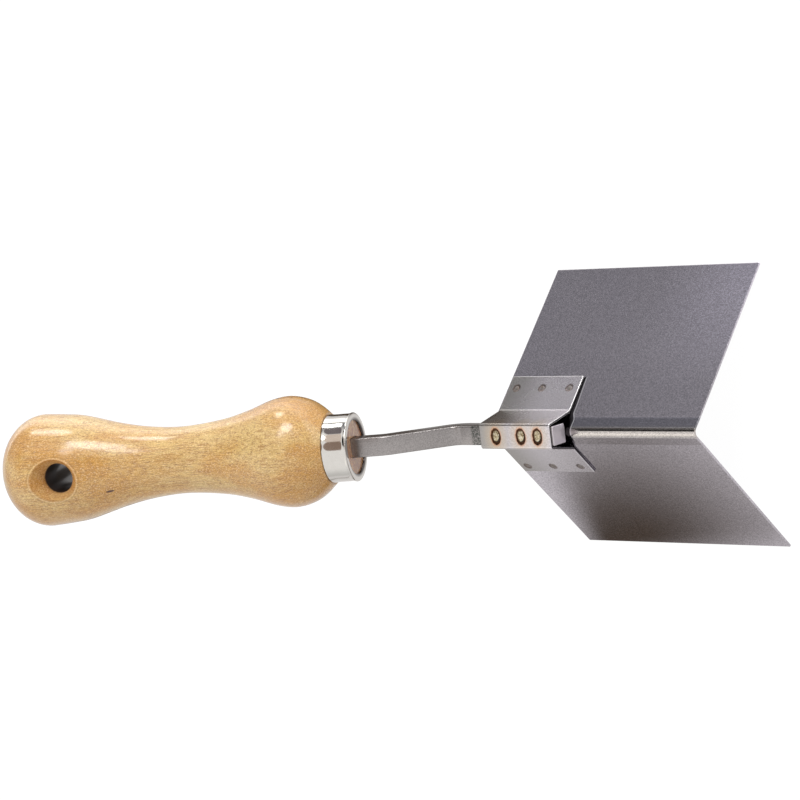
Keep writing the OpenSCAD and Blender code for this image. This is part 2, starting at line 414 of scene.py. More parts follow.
class Tree:
    """A short way to write a node tree."""

    def __init__(self, tree):
        self.tree = tree

    def node(self, kind, **settings):
        made = self.tree.nodes.new("ShaderNode" + kind)
        for name, value in settings.items():
            setattr(made, name, value)
        return made

    def set(self, socket, value):
        if isinstance(value, bpy.types.NodeSocket):
            self.tree.links.new(value, socket)
        else:
            socket.default_value = value

    def math(self, operation, a, b=0.0, c=0.0):
        made = self.node("Math", operation=operation)
        for socket, value in zip(made.inputs, (a, b, c)):
            self.set(socket, value)
        return made.outputs[0]

    def vector(self, operation, a, b=(0, 0, 0), scale=1.0):
        made = self.node("VectorMath", operation=operation)
        self.set(made.inputs[0], a)
        self.set(made.inputs[1], b)
        if operation == "SCALE":
            self.set(made.inputs["Scale"], scale)
        return made.outputs["Value" if operation in ("DOT_PRODUCT", "LENGTH", "DISTANCE") else "Vector"]

    def step(self, value, low, high, to_low=0.0, to_high=1.0):
        """A smooth step from to_low at low to to_high at high."""
        made = self.node("MapRange", interpolation_type="SMOOTHSTEP")
        for socket, v in zip(made.inputs, (value, low, high, to_low, to_high)):
            self.set(socket, v)
        return made.outputs[0]

    def times(self, first, *others):
        for other in others:
            first = self.math("MULTIPLY", first, other)
        return first

    def away(self, value, middle):
        """How far the value is from middle, on either side."""
        return self.math("ABSOLUTE", self.math("SUBTRACT", value, middle))

    def split(self, vector):
        """The vector's x, y and z."""
        made = self.node("SeparateXYZ")
        self.set(made.inputs[0], vector)
        return made.outputs

    def mix(self, factor, a, b):
        made = self.node("Mix", data_type="RGBA")
        self.set(made.inputs[0], factor)
        self.set(made.inputs[6], a)
        self.set(made.inputs[7], b)
        return made.outputs[2]

    def shade(self, amount, base, factors):
        """The base colour, multiplied by the factors where amount is 1."""
        return self.mix(amount, base, self.vector("MULTIPLY", base, factors))

    def noise(self, vector, scale, detail=2.0, rough=0.5):
        made = self.node("TexNoise")
        self.set(made.inputs["Vector"], vector)
        made.inputs["Scale"].default_value = scale
        made.inputs["Detail"].default_value = detail
        made.inputs["Roughness"].default_value = rough
        return made.outputs[0]

    def stretched_noise(self, vector, scale, detail, rough):
        """Noise with its own scale along each axis."""
        return self.noise(self.place(vector, scale=scale), 1, detail, rough)

    def place(self, vector, kind="POINT", location=(0, 0, 0), rotation=(0, 0, 0), scale=(1, 1, 1)):
        made = self.node("Mapping", vector_type=kind)
        self.set(made.inputs["Vector"], vector)
        made.inputs["Location"].default_value = location
        made.inputs["Rotation"].default_value = rotation
        made.inputs["Scale"].default_value = scale
        return made.outputs[0]

    def bump(self, height, strength, distance):
        made = self.node("Bump")
        self.set(made.inputs["Height"], height)
        made.inputs["Strength"].default_value = strength
        made.inputs["Distance"].default_value = distance
        return made.outputs[0]


def new_material(name):
    """A material with its tree, its shader and the piece's own coordinates in metres."""
    material = bpy.data.materials.new(name)
    material.use_nodes = True
    tree = Tree(material.node_tree)
    shader = material.node_tree.nodes["Principled BSDF"]
    coordinates = tree.node("TexCoord").outputs["Object"]
    return material, tree, shader, coordinates


def round_axis(tree, at, centre, axis):
    """How far the point is along an axis from its centre, and how far from the axis, in metres."""
    offset = tree.vector("SUBTRACT", at, tuple(centre * MM))
    along = tree.vector("DOT_PRODUCT", offset, tuple(axis))
    foot = tree.vector("SCALE", tuple(axis), scale=along)
    return along, tree.vector("LENGTH", tree.vector("SUBTRACT", offset, foot))


# ---------------------------------------------------------------------------
# Materials
# ---------------------------------------------------------------------------

def steel(tree, shader, at, colour, roughness, speckle=0.16, cloud=0.10, speckle_size=0.45):
    """Rolled steel: fine speckle, soft clouds and a faint grain. Returns its colour for more layers."""
    fine = tree.noise(at, 1 / (speckle_size * MM), 3, 0.65)
    clouds = tree.noise(at, 40, 3, 0.55)
    rolled = tree.stretched_noise(at, (60, 2200, 2200), 2, 0.6)
    dark = tuple(c * (1 - speckle) for c in colour[:3]) + (1,)
    light = tuple(min(1, c * (1 + speckle)) for c in colour[:3]) + (1,)
    base = tree.mix(tree.step(fine, 0.3, 0.7), dark, light)
    base = tree.mix(tree.step(clouds, 0.3, 0.75, 0, cloud), base, (0.03, 0.03, 0.035, 1))
    rough = tree.math("MULTIPLY_ADD", clouds, 0.12, roughness - 0.06)
    height = tree.math("MULTIPLY_ADD", rolled, 0.5, fine)
    shader.inputs["Metallic"].default_value = 1
    tree.set(shader.inputs["Roughness"], rough)
    tree.set(shader.inputs["Normal"], tree.bump(height, 0.12, 0.02 * MM))
    return base


def blade_steel():
    material, tree, shader, at = new_material("blade_steel")
    base = steel(tree, shader, at, (0.58, 0.555, 0.60), 0.15, 0.28, 0.1, 0.5)
    base = painted_press_light(tree, at, base)
    base = painted_shadow_at_bracket(tree, at, base)
    tree.set(shader.inputs["Base Color"], base)
    return material


def painted_press_light(tree, at, base):
    """Painted light on the leaf on the +Y side: painted shade in its pressed strip, toward the handle's end
    and beside the fold; painted highlights along the strip's border and toward its far corner. The fold is
    tinted warm so that its highlight reads cream.
    """
    x, y, _ = tree.split(at)
    press_y = (outer_corner + PRESS_AT * leaf_down).x * MM
    leaf = tree.step(y, 0.0008, 0.0016)
    pressed = tree.step(y, press_y - 0.0003, press_y + 0.0003, 1, 0)
    border = tree.step(tree.away(y, press_y), 0.0002, 0.0006, 1, 0)
    handle_end_shade = tree.step(x, -0.03, 0.045, 1, 0)
    fold_side_shade = tree.step(y, 0.008, 0.03, 1, 0)
    # Painted shade in the pressed strip, toward the handle's end and beside the fold; a painted highlight
    # along the strip's border.
    for part, light in ((pressed, (0.66, 0.68, 0.70)), (border, (1.18, 1.18, 1.18)),
                        (handle_end_shade, (0.91, 0.91, 0.91)), (fold_side_shade, (0.88, 0.88, 0.88))):
        base = tree.shade(tree.times(leaf, part), base, light)
    # A painted highlight toward the leaf's far corner.
    far_corner_highlight = tree.times(tree.step(x, 0.0, 0.055), tree.step(y, 0.012, 0.055, 0.1, 1))
    base = tree.shade(far_corner_highlight, base, (1.36, 1.36, 1.42))
    # The fold is tinted warm so that its highlight reads cream: painted reflection colour.
    fold = tree.step(tree.math("ABSOLUTE", y), 0.0014, 0.003, 1, 0)
    return tree.shade(fold, base, (0.97, 0.95, 0.84))


def painted_shadow_at_bracket(tree, at, base):
    """Painted shadow on the leaves along the bracket's end, where the gap and the bar's end shade them, and a
    painted reflection of the flange's lit edge as a bright line on one leaf.
    """
    x, y, _ = tree.split(at)
    beside = tree.math("SUBTRACT", x, bracket_high.x * MM)
    reach = tree.math("ABSOLUTE", y)
    tip = (outer_corner + FLANGE_TIP * leaf_down).x * MM
    root = (outer_corner + FLANGE_ROOT * leaf_down).x * MM
    outward = tree.split(tree.node("TexCoord").outputs["Normal"])[2]
    here = tree.times(tree.step(reach, tip - 0.0002, tip + 0.0002, 1, 0),
                      tree.step(beside, -0.0008, -0.0004),
                      tree.step(outward, -0.05, 0.05))
    width = tree.math("ADD", tree.step(reach, root, tip, 0.0017, 0.001),
                      tree.step(reach, root - 0.003, root, 0.0015, 0))
    width = tree.math("SUBTRACT", width, tree.step(y, -0.004, -0.0035, 0.0013, 0))
    past = tree.math("SUBTRACT", beside, width)
    # Painted shadow: the leaf beside the bracket's end is painted near black.
    gap_shadow = tree.times(here, tree.step(past, -0.0003, 0.0, 0.93, 0))
    base = tree.mix(gap_shadow, base, (0.03, 0.028, 0.03, 1))
    # A painted reflection: a bright line where the leaf mirrors the flange's lit edge.
    line = tree.step(tree.away(past, 0.0002), 0.0001, 0.0003, 0.9, 0)
    return tree.mix(tree.times(line, here, tree.step(y, -0.004, -0.0035)), base, WHITE)


def bracket_steel():
    material, tree, shader, at = new_material("bracket_steel")
    base = steel(tree, shader, at, (0.63, 0.605, 0.64), 0.27, 0.2)
    base = heat_tint(tree, at, base)
    edge_glint = painted_edge_glint(tree, at)
    # A painted highlight: the lit edges are painted near white and made less metallic.
    base = tree.mix(edge_glint, base, (0.95, 0.94, 0.95, 1))
    tree.set(shader.inputs["Metallic"], tree.math("MULTIPLY_ADD", edge_glint, -0.75, 1.0))
    base = shaded_cut_face(tree, base)
    tree.set(shader.inputs["Base Color"], base)
    return material


def painted_edge_glint(tree, at):
    """How much the painted glint shows: a painted highlight along two edges of one flange and up its wall's
    end, where the edges catch the light.
    """
    x, y, _ = tree.split(at)
    offset = tree.vector("SUBTRACT", at, (0, outer_corner.x * MM, outer_corner.y * MM))
    down = tree.vector("DOT_PRODUCT", offset, (0, leaf_down.x, leaf_down.y))
    wide = 0.0004
    tip, end = (tree.step(value, edge - wide, edge - wide * 0.6)
                for value, edge in ((down, FLANGE_TIP * MM), (x, bracket_high.x * MM)))
    one_side = tree.step(y, (PLATE_HALF_W - 1) * MM, PLATE_HALF_W * MM)
    return tree.times(one_side, tree.math("MAXIMUM", tip, end), 0.85)


def shaded_cut_face(tree, base):
    """The sheared end that faces +X is painted dark: painted shade for the dark ground that it faces."""
    facing = tree.split(tree.node("TexCoord").outputs["Normal"])[0]
    return tree.mix(tree.step(facing, 0.9, 0.98), base, (0.08, 0.075, 0.08, 1))


def nearest_weld(tree, at, centres, radii):
    """Distance to the nearest weld centre, where 1 is the ring's outer edge."""
    nearest = None
    for centre in centres:
        offset = tree.vector("SUBTRACT", at, tuple(c * MM for c in centre))
        offset = tree.vector("DIVIDE", offset, tuple(r * MM for r in radii))
        distance = tree.vector("LENGTH", offset)
        nearest = distance if nearest is None else tree.math("MINIMUM", nearest, distance)
    return nearest


def heat_tint(tree, at, base):
    """Brown rings and orange halos round the top plate's welds, brown marks on the flanges, and the bracket
    darker toward its rear end.
    """
    wobble = tree.math("MULTIPLY_ADD", tree.noise(at, 900, 2), 0.3, -0.15)
    near = nearest_weld(tree, at, plate_weld_centres(), (RING_X, RING_Y, 3.0))
    near = tree.math("ADD", near, wobble)
    # The bracket is darker toward its rear end.
    darker_rear = tree.step(tree.split(at)[0], -0.050, -0.026, 0.85, 0)
    base = tree.mix(darker_rear, base, (0.33, 0.32, 0.30, 1))
    base = tree.mix(tree.step(near, 1.1, 3.2, 0.4, 0), base, linear(208, 186, 152))
    base = tree.mix(tree.step(near, 0.95, 1.4, 0.6, 0), base, linear(206, 142, 92))
    base = tree.mix(tree.step(near, 0.95, 1.08, 0.96, 0), base, linear(58, 32, 14))
    close = nearest_weld(tree, at, flange_weld_centres(), (FLANGE_MARK_R,) * 3)
    close = tree.math("ADD", close, wobble)
    ring = tree.times(tree.step(close, 0.3, 0.75), tree.step(close, 0.85, 1.15, 0.8, 0))
    return tree.mix(ring, base, linear(84, 64, 54))


def weld_metal():
    """Grey mottled metal, tan on the top plate, with a painted shadow: a dark crescent at one side of each
    nugget, where its groove would be shaded.
    """
    material, tree, shader, at = new_material("weld_metal")
    base = steel(tree, shader, at, linear(200, 188, 156), 0.38, 0.3, 0.3, 0.9)
    on_plate = tree.step(tree.split(at)[2], 0.007, 0.008)
    base = tree.mix(on_plate, (0.26, 0.24, 0.235, 1), base)
    spatter = tree.noise(at, 1500, 3, 0.7)
    base = tree.mix(tree.step(spatter, 0.5, 0.6, 0, 0.75), base, linear(104, 82, 52))
    bright = tree.times(on_plate, tree.step(spatter, 0.48, 0.4, 0, 0.7))
    base = tree.mix(bright, base, linear(236, 230, 214))
    # Painted shadow: a dark crescent at one side of each nugget.
    shifted = [(x - 0.25, y + 0.55, z) for x, y, z in plate_weld_centres()]
    near = nearest_weld(tree, at, shifted, (RING_X * NUGGET_SHARE, RING_Y * NUGGET_SHARE, 3.0))
    crescent = tree.times(tree.step(near, 0.82, 0.98, 0, 0.95), tree.step(near, 1.5, 2.0, 1, 0))
    tree.set(shader.inputs["Base Color"], tree.mix(crescent, base, linear(24, 16, 12)))
    return material


def shank_steel():
    """Darker steel, with painted shade as a mottled greenish patch beside the bracket's end, and bright on
    the bar's own end.
    """
    material, tree, shader, at = new_material("shank_steel")
    base = steel(tree, shader, at, (0.345, 0.325, 0.32), 0.30, 0.24)
    x = tree.split(at)[0]
    marks = tree.noise(at, 1500, 3, 0.7)
    # Painted shade: a mottled, darker greenish patch on the bar beside the bracket's end.
    patch_shade = tree.times(tree.step(x, -0.0555, -0.0535), tree.step(x, -0.049, -0.048, 1, 0),
                       tree.step(marks, 0.42, 0.6, 0.85, 0.1))
    base = tree.mix(patch_shade, base, linear(60, 66, 60))
    end = tree.step(x, shank_end_x * MM - 0.0006, shank_end_x * MM - 0.0002)
    base = tree.mix(end, base, (0.56, 0.52, 0.56, 1))
    tree.set(shader.inputs["Metallic"], tree.math("MULTIPLY_ADD", end, -0.6, 1.0))
    tree.set(shader.inputs["Base Color"], base)
    return material


def ferrule_chrome():
    """Bright plating with a little haze, and painted shade inside the mouth."""
    material, tree, shader, at = new_material("ferrule_chrome")
    haze = tree.noise(at, 300, 3, 0.6)
    base = tree.mix(haze, (0.62, 0.60, 0.565, 1), (0.70, 0.69, 0.66, 1))
    _, radius = round_axis(tree, at, mouth, handle_dir)
    # Painted shade: the inside of the lip is painted near black.
    mouth_shade = tree.step(radius, (MOUTH_R + 0.1) * MM, (MOUTH_R + 1.7) * MM, 0.93, 0)
    tree.set(shader.inputs["Base Color"], tree.mix(mouth_shade, base, (0.05, 0.04, 0.04, 1)))
    shader.inputs["Metallic"].default_value = 1
    tree.set(shader.inputs["Roughness"], tree.step(haze, 0.3, 0.8, 0.06, 0.14))
    return material


def handle_wood():
    """Lacquered light hardwood with its grain along the handle."""
    material, tree, shader, at = new_material("handle_wood")
    grain_axes = tree.place(at, "TEXTURE", mouth * MM, (0, HANDLE_ANGLE - math.pi / 2, 0))
    patches = tree.stretched_noise(grain_axes, (55, 55, 22), 3, 0.6)
    bands = tree.stretched_noise(grain_axes, (260, 260, 9), 2, 0.5)
    fibre = tree.stretched_noise(grain_axes, (1500, 1500, 70), 3, 0.7)
    dashes = tree.stretched_noise(grain_axes, (2600, 2600, 330), 2, 0.6)
    grit = tree.stretched_noise(grain_axes, (2300, 2300, 1500), 2, 0.7)
    base = tree.mix(tree.step(patches, 0.35, 0.65), linear(224, 195, 128), linear(206, 151, 62))
    base = tree.mix(tree.step(bands, 0.35, 0.7, 0, 0.3), base, linear(196, 146, 88))
    base = tree.mix(tree.step(fibre, 0.42, 0.66, 0, 0.7), base, linear(168, 116, 60))
    base = tree.mix(tree.step(grit, 0.5, 0.3, 0, 0.5), base, linear(252, 234, 190))
    base = tree.mix(tree.step(grit, 0.5, 0.68, 0, 0.5), base, linear(158, 108, 52))
    base = tree.mix(tree.step(dashes, 0.56, 0.7, 0, 0.7), base, linear(132, 84, 46))
    base = tree.mix(end_grain(tree, at), base, linear(150, 88, 56))
    base = tree.mix(mineral_fleck(tree, grain_axes), base, linear(72, 34, 14))
    base, inside = hang_hole_tint_and_shade(tree, at, base)
    tree.set(shader.inputs["Base Color"], base)
    tree.set(shader.inputs["Roughness"], tree.math("MULTIPLY_ADD", inside, 0.4, 0.5))
    tree.set(shader.inputs["Coat Weight"], tree.math("MULTIPLY_ADD", inside, -0.9, 0.9))
    shader.inputs["Coat Roughness"].default_value = 0.12
    shader.inputs["Coat IOR"].default_value = 1.45
    ripple = tree.stretched_noise(grain_axes, (800, 800, 240), 2, 0.6)
    height = tree.math("MULTIPLY_ADD", fibre, 0.3, ripple)
    tree.set(shader.inputs["Normal"], tree.bump(height, 0.35, 0.1 * MM))
    tree.set(shader.inputs["Coat Normal"], tree.bump(height, 0.6, 0.11 * MM))
    return material


def end_grain(tree, at):
    """How much of the handle's front end shows here: the uncoated wood in the ferrule's mouth, darker and
    blotchy.
    """
    depth, _ = round_axis(tree, at, mouth + handle_dir * NECK_END, handle_dir)
    blotch = tree.noise(at, 500, 3, 0.6)
    return tree.times(tree.step(depth, 0.0002, 0.0006, 1, 0), tree.step(blotch, 0.3, 0.7, 0.95, 0.35))


def mineral_fleck(tree, grain_axes):
    """The one dark streak in the wood, near the hang hole."""
    place = Vector((FLECK_OUT * math.cos(FLECK_TURN), FLECK_OUT * math.sin(FLECK_TURN), FLECK_AT))
    offset = tree.vector("SUBTRACT", grain_axes, tuple(place * MM))
    reach = tree.vector("LENGTH", tree.vector("DIVIDE", offset, tuple(size * MM for size in FLECK_SIZE)))
    return tree.step(reach, 0.7, 1.0, 0.97, 0)


def hang_hole_tint_and_shade(tree, at, base):
    """Redder uncoated wood in the countersinks, a painted highlight as a light rim round each, a painted
    shade line just outside it, and painted shade in the dark bore. Also says where the wood is uncoated.
    """
    along, radius = round_axis(tree, at, hang_centre, hang_axis)
    depth = tree.math("SUBTRACT", tree.math("ABSOLUTE", along), hang["dims"]["length_mm"] / 2 * MM)
    cone = tree.math("MULTIPLY_ADD", depth, SINK_SLOPE, hang_r * MM)
    beyond = tree.math("SUBTRACT", radius, cone)
    inside = tree.step(beyond, 0.0005, 0.0008, 1, 0)
    # A painted highlight: a light rim round the countersink's edge.
    rim = tree.times(tree.step(beyond, 0.0003, 0.0007), tree.step(beyond, 0.0009, 0.0014, 0.25, 0))
    base = tree.mix(rim, base, linear(246, 224, 180))
    # Painted shade: a dark line just outside the rim.
    groove = tree.times(tree.step(beyond, 0.0012, 0.0016), tree.step(beyond, 0.0017, 0.0022, 0.25, 0))
    base = tree.mix(groove, base, linear(140, 92, 46))
    base = tree.mix(tree.times(inside, 0.3), base, linear(168, 100, 52))
    # Painted shade: the bore is painted dark.
    bore = tree.times(tree.step(depth, -0.0015, 0.0, 1, 0),
                      tree.step(radius, hang_r * MM + 0.0002, hang_r * MM + 0.0005, 1, 0))
    return tree.mix(bore, base, linear(44, 28, 20)), inside


# ---------------------------------------------------------------------------
# Pieces
# ---------------------------------------------------------------------------

def plate_weld_centres():
    return [(bracket_low.x + x, 0, bracket_high.z) for x in PLATE_WELD_X]


def flange_weld_centres():
    centres = []
    for side, down in zip((1, -1), FLANGE_WELD_AT):
        spot = outer_corner + leaf_down * down + leaf_out * BRACKET_T
        centres += [(bracket_low.x + x, side * spot.x, spot.y) for x in FLANGE_WELD_X]
    return centres


def make_blade():
    origin = outer_corner / 2
    press = origin + PRESS_AT * leaf_down
    edge = origin + (LEAF_W - BLADE_T / 2) * leaf_down
    top = Vector((0, press.y + press.x / math.tan(HALF_ANGLE - PRESS_PINCH)))
    right = [edge, press]
    radii = [PRESS_R, FOLD_R - BLADE_T / 2, PRESS_R]
    stations = bent_line(right + [top] + mirrored(right), radii, BEND_STEPS)
    xs = evenly(blade_low.x, blade_high.x, ONE_SPAN)
    blade = sheet_mesh("blade_sheet", stations, xs, BLADE_T)
    return soften_edges(blade, BLADE_EDGE_R)


def weld_dents(half_length):
    """A function of x and s, the distance along the section from its middle: how far the face sinks."""
    plate = [bracket_low.x + x for x in PLATE_WELD_X]
    flanges = [(bracket_low.x + x, side * (half_length - (FLANGE_TIP - down)))
               for side, down in zip((1, -1), FLANGE_WELD_AT) for x in FLANGE_WELD_X]

    def groove(d, inner, outer, depth):
        if d >= outer:
            return 0.0
        if d <= inner:
            return depth
        u = (d - inner) / (outer - inner)
        return depth * (1 - u * u * (3 - 2 * u))

    def dent(x, s):
        sink = 0.0
        for cx in plate:
            sink = max(sink, groove(math.hypot((x - cx) / RING_X, s / RING_Y), *PLATE_DENT))
        for cx, cs in flanges:
            sink = max(sink, groove(math.hypot(x - cx, s - cs), *FLANGE_DENT))
        return sink

    return dent


def make_bracket():
    top = bracket_high.z - BRACKET_T / 2
    end = outer_corner + FLANGE_TIP * leaf_down + BRACKET_T / 2 * leaf_out
    bend = outer_corner + FLANGE_ROOT * leaf_down + BRACKET_T / 2 * leaf_out
    right = [end, bend, Vector((PLATE_HALF_W, top))]
    radii = [ROOT_R, CREASE_R, CREASE_R, ROOT_R]
    stations = bent_line(right + mirrored(right), radii, CREASE_STEPS, SHEET_SPACING)
    half_length = sum((q[0] - p[0]).length for p, q in zip(stations, stations[1:])) / 2
    xs = evenly(bracket_low.x, bracket_high.x, SHEET_SPACING)
    bracket = sheet_mesh("bracket_sheet", stations, xs, BRACKET_T, weld_dents(half_length))
    return soften_edges(bracket, BRACKET_EDGE_R, 4)


def button_mesh(name, spots):
    """Low domed buttons at (centre, outward axis, first axis, radii, height), joined in one piece."""
    verts, faces = [], []
    rings, segments = 7, 36
    for centre, out, first, radii, height in spots:
        second = out.cross(first)
        start = len(verts)
        for i in range(rings):
            share = math.cos(math.pi / 2 * i / rings)
            lift = math.sin(math.pi / 2 * i / rings)
            for k in range(segments):
                a = 2 * math.pi * k / segments
                verts.append(centre + first * (radii[0] * share * math.cos(a))
                             + second * (radii[1] * share * math.sin(a)) + out * (height * lift))
        tip = len(verts)
        verts.append(centre + out * height)
        faces.append(tuple(range(start, start + segments)))
        for i in range(rings - 1):
            a, b = start + i * segments, start + (i + 1) * segments
            for k in range(segments):
                m = (k + 1) % segments
                faces.append((a + k, a + m, b + m, b + k))
        last = start + (rings - 1) * segments
        for k in range(segments):
            faces.append((last + k, last + (k + 1) % segments, tip))
    made = new_object(name, verts, faces)
    made.data.set_sharp_from_angle(angle=math.radians(60))
    return made


def make_shank_welds():
    up, first = Vector((0, 0, 1)), Vector((1, 0, 0))
    radii = (RING_X * NUGGET_SHARE, RING_Y * NUGGET_SHARE)
    spots = [(Vector(c) - up * PLATE_NUGGET_BASE, up, first, radii, PLATE_NUGGET_H)
             for c in plate_weld_centres()]
    return button_mesh("plate_weld_nuggets", spots)


def make_flange_welds(side, name):
    out, first = Vector((0, side * leaf_out.x, leaf_out.y)), Vector((1, 0, 0))
    radii = (FLANGE_NUGGET_R, FLANGE_NUGGET_R)
    spots = [(Vector(c) - out * FLANGE_NUGGET_BASE, out, first, radii, FLANGE_NUGGET_H)
             for c in flange_weld_centres() if c[1] * side > 0]
    return button_mesh(name, spots)


def bar_section(half, corner, steps):
    """Points round a square with round corners, as (across, up) offsets."""
    points = []
    for q in range(4):
        cx = (half - corner) * (1 if q in (0, 3) else -1)
        cy = (half - corner) * (1 if q in (0, 1) else -1)
        for k in range(steps + 1):
            a = math.pi / 2 * (q + k / steps)
            points.append((cx + corner * math.cos(a), cy + corner * math.sin(a)))
    return points


def make_shank():
    end = Vector((shank_end_x, shank_mid))
    lower = Vector((LOWER_BEND_X, shank_mid))
    direction = Vector((handle_dir.x, handle_dir.z))
    tang_end = Vector((mouth.x, mouth.z)) + TANG_L * direction
    stations = bent_line([end, lower, upper_bend, tang_end], [LOWER_BEND_R, UPPER_BEND_R], CRANK_STEPS)
    rows = []
    for k in range(CORNER_STEPS):
        a = math.pi / 2 * k / CORNER_STEPS
        back = Vector((BAR_END_R * (1 - math.cos(a)), 0))
        rows.append((end - back, stations[0][1], BAR_END_R * (1 - math.sin(a))))
    rows += [(p, n, 0.0) for p, n in stations[1:-1]]
    last, normal = stations[-1]
    rows += [(last - direction * (TANG_L - TANG_FULL), normal, 0.0), (last, normal, TANG_INSET)]
    verts = []
    for p, n, inset in rows:
        section = bar_section(BAR / 2 - inset, BAR_EDGE_R, CORNER_STEPS)
        count = len(section)
        for across, up in section:
            q = p - n * up
            verts.append((q.x, across, q.y))
    faces = []
    for i in range(len(rows) - 1):
        for k in range(count):
            m = (k + 1) % count
            faces.append((i * count + k, i * count + m, (i + 1) * count + m, (i + 1) * count + k))
    faces.append(tuple(range(count)))
    faces.append(tuple(range((len(rows) - 1) * count, len(rows) * count)))
    shank = new_object("shank_bar", verts, faces)
    shank.data.set_sharp_from_angle(angle=SHARP)
    return shank


def make_ferrule():
    """A cup whose mouth is turned in, with a slight waist between its lip and its rear end."""
    outline = []
    middle, half = (FERRULE_R + MOUTH_R) / 2, (FERRULE_R - MOUTH_R) / 2
    for k in range(LIP_STEPS + 1):
        a = math.pi * k / LIP_STEPS
        outline.append((LIP_CORNER_R * (1 - math.sin(a) ** 0.6), middle - half * math.cos(a)))
    for s in evenly(LIP_CORNER_R + 0.1, FERRULE_L - 0.4, 0.3):
        at_lip = max(0, 1 - (s - LIP_CORNER_R) / LIP_FLARE)
        at_rear = max(0, (s - FERRULE_L + REAR_FLARE) / REAR_FLARE)
        flare = min(1, at_lip ** 2 + at_rear ** 2)
        outline.append((s, FERRULE_R - FERRULE_WAIST * (1 - flare)))
    inner = FERRULE_R - FERRULE_T
    outline += [(FERRULE_L - 0.15, FERRULE_R - 0.06), (FERRULE_L, FERRULE_R - 0.3),
                (FERRULE_L, inner), (NECK_END, inner), (NECK_END, MOUTH_R)]
    ferrule = revolve_mesh("ferrule_cup", outline, mouth, handle_dir, handle_up, ROUND_STEPS)
    close_ring(ferrule)
    ferrule.data.set_sharp_from_angle(angle=SHARP)
    return ferrule


def close_ring(obj):
    """Joins the first and the last ring of an outline that runs all round."""
    bm = bmesh.new()
    bm.from_mesh(obj.data)
    edges = [e for e in bm.edges if e.is_boundary]
    bmesh.ops.bridge_loops(bm, edges=edges)
    bmesh.ops.recalc_face_normals(bm, faces=bm.faces)
    bm.to_mesh(obj.data)
    bm.free()
    obj.data.shade_smooth()


def hang_hole_cutter():
    """The bore with its two countersinks, as one turned shape along the hole's axis."""
    flat = hang["dims"]["length_mm"] / 2
    side = [(flat - 0.8, hang_r), (flat, hang_r + 0.12), (flat + 0.8, hang_r + 0.55)]
    side += [(flat + depth, hang_r + depth * SINK_SLOPE) for depth in (1.6, 2 * SINK_DEPTH)]
    half = side + [(side[-1][0], 0)]
    outline = [(-s, r) for s, r in reversed(half)] + half
    return revolve_mesh("cutter", outline, hang_centre, hang_axis, ACROSS, HOLE_STEPS)


def make_handle():
    outline = [(NECK_END, 0), (NECK_END, NECK_R - 0.4), (NECK_END + 0.4, NECK_R),
               (FERRULE_L + NECK_FIT, NECK_R)]
    outline += smooth_curve(GRIP, GRIP_STEPS)
    for k in range(1, BUTT_STEPS + 1):
        a = math.pi / 2 * k / BUTT_STEPS
        outline.append((BUTT_AT + DOME_L * math.sin(a), BUTT_R * math.cos(a)))
    outline[-1] = (outline[-1][0], 0)
    handle = revolve_mesh("handle_grip", outline, mouth, handle_dir, handle_up, ROUND_STEPS)
    cut_away(handle, hang_hole_cutter())
    cut_away(handle, tang_hole_cutter())
    round_rim(handle)
    handle.data.set_sharp_from_angle(angle=math.radians(40))
    return handle


def tang_hole_cutter():
    """The square hole that the tang fills."""
    half = BAR / 2 + TANG_PLAY
    verts, faces = [], []
    for s, h in ((-1, half), (TANG_FULL, half), (TANG_L + 0.2, half - 2.0)):
        for a, b in ((1, 1), (-1, 1), (-1, -1), (1, -1)):
            verts.append(mouth + handle_dir * s + ACROSS * (a * h) + handle_up * (b * h))
    for i in range(2):
        for k in range(4):
            m = (k + 1) % 4
            faces.append((4 * i + k, 4 * i + m, 4 * i + 4 + m, 4 * i + 4 + k))
    faces += [(0, 1, 2, 3), (8, 9, 10, 11)]
    return new_object("cutter", verts, faces)


def round_rim(handle):
    """Rounds the edge where the countersinks meet the handle's outside."""
    bm = bmesh.new()
    bm.from_mesh(handle.data)
    bmesh.ops.remove_doubles(bm, verts=bm.verts, dist=0.02 * MM)
    rim = []
    for e in bm.edges:
        if not e.is_manifold or e.calc_face_angle(0) < math.radians(25):
            continue
        middle = (e.verts[0].co + e.verts[1].co) / 2 / MM - hang_centre
        depth = abs(middle.dot(hang_axis))
        radius = (middle - hang_axis * middle.dot(hang_axis)).length
        if depth > RIM_DEPTH and RIM_BAND[0] < radius < RIM_BAND[1]:
            rim.append(e)
    bmesh.ops.bevel(bm, geom=rim, offset=RIM_R * MM, segments=4, profile=0.5, affect="EDGES",
                    clamp_overlap=True)
    bm.to_mesh(handle.data)
    bm.free()
    handle.data.shade_smooth()


# ---------------------------------------------------------------------------
# Studio
# ---------------------------------------------------------------------------

def make_world():
    """The studio. The camera sees white. Everything else sees a soft dome with a few cards of light."""
    world = bpy.data.worlds.new("studio")
    bpy.context.scene.world = world
    world.use_nodes = True
    tree = Tree(world.node_tree)
    ray = tree.vector("NORMALIZE", tree.node("TexCoord").outputs["Generated"])
    _, y, z = tree.split(ray)
    horizon = tree.mix(tree.step(y, -0.3, 0.4), HORIZON_RIGHT, HORIZON_LEFT)
    colour = tree.mix(tree.step(z, 0.04, 0.6), horizon, DOME)
    for towards, half_width, softness, light in CARDS:
        near = tree.vector("DOT_PRODUCT", ray, tuple(Vector(towards).normalized()))
        edge, core = (math.cos(math.radians(a)) for a in (half_width + softness, half_width))
        colour = tree.mix(tree.step(near, edge, core), colour, light)
    seen = tree.node("LightPath").outputs["Is Camera Ray"]
    tree.set(world.node_tree.nodes["Background"].inputs[0], tree.mix(seen, colour, WHITE))


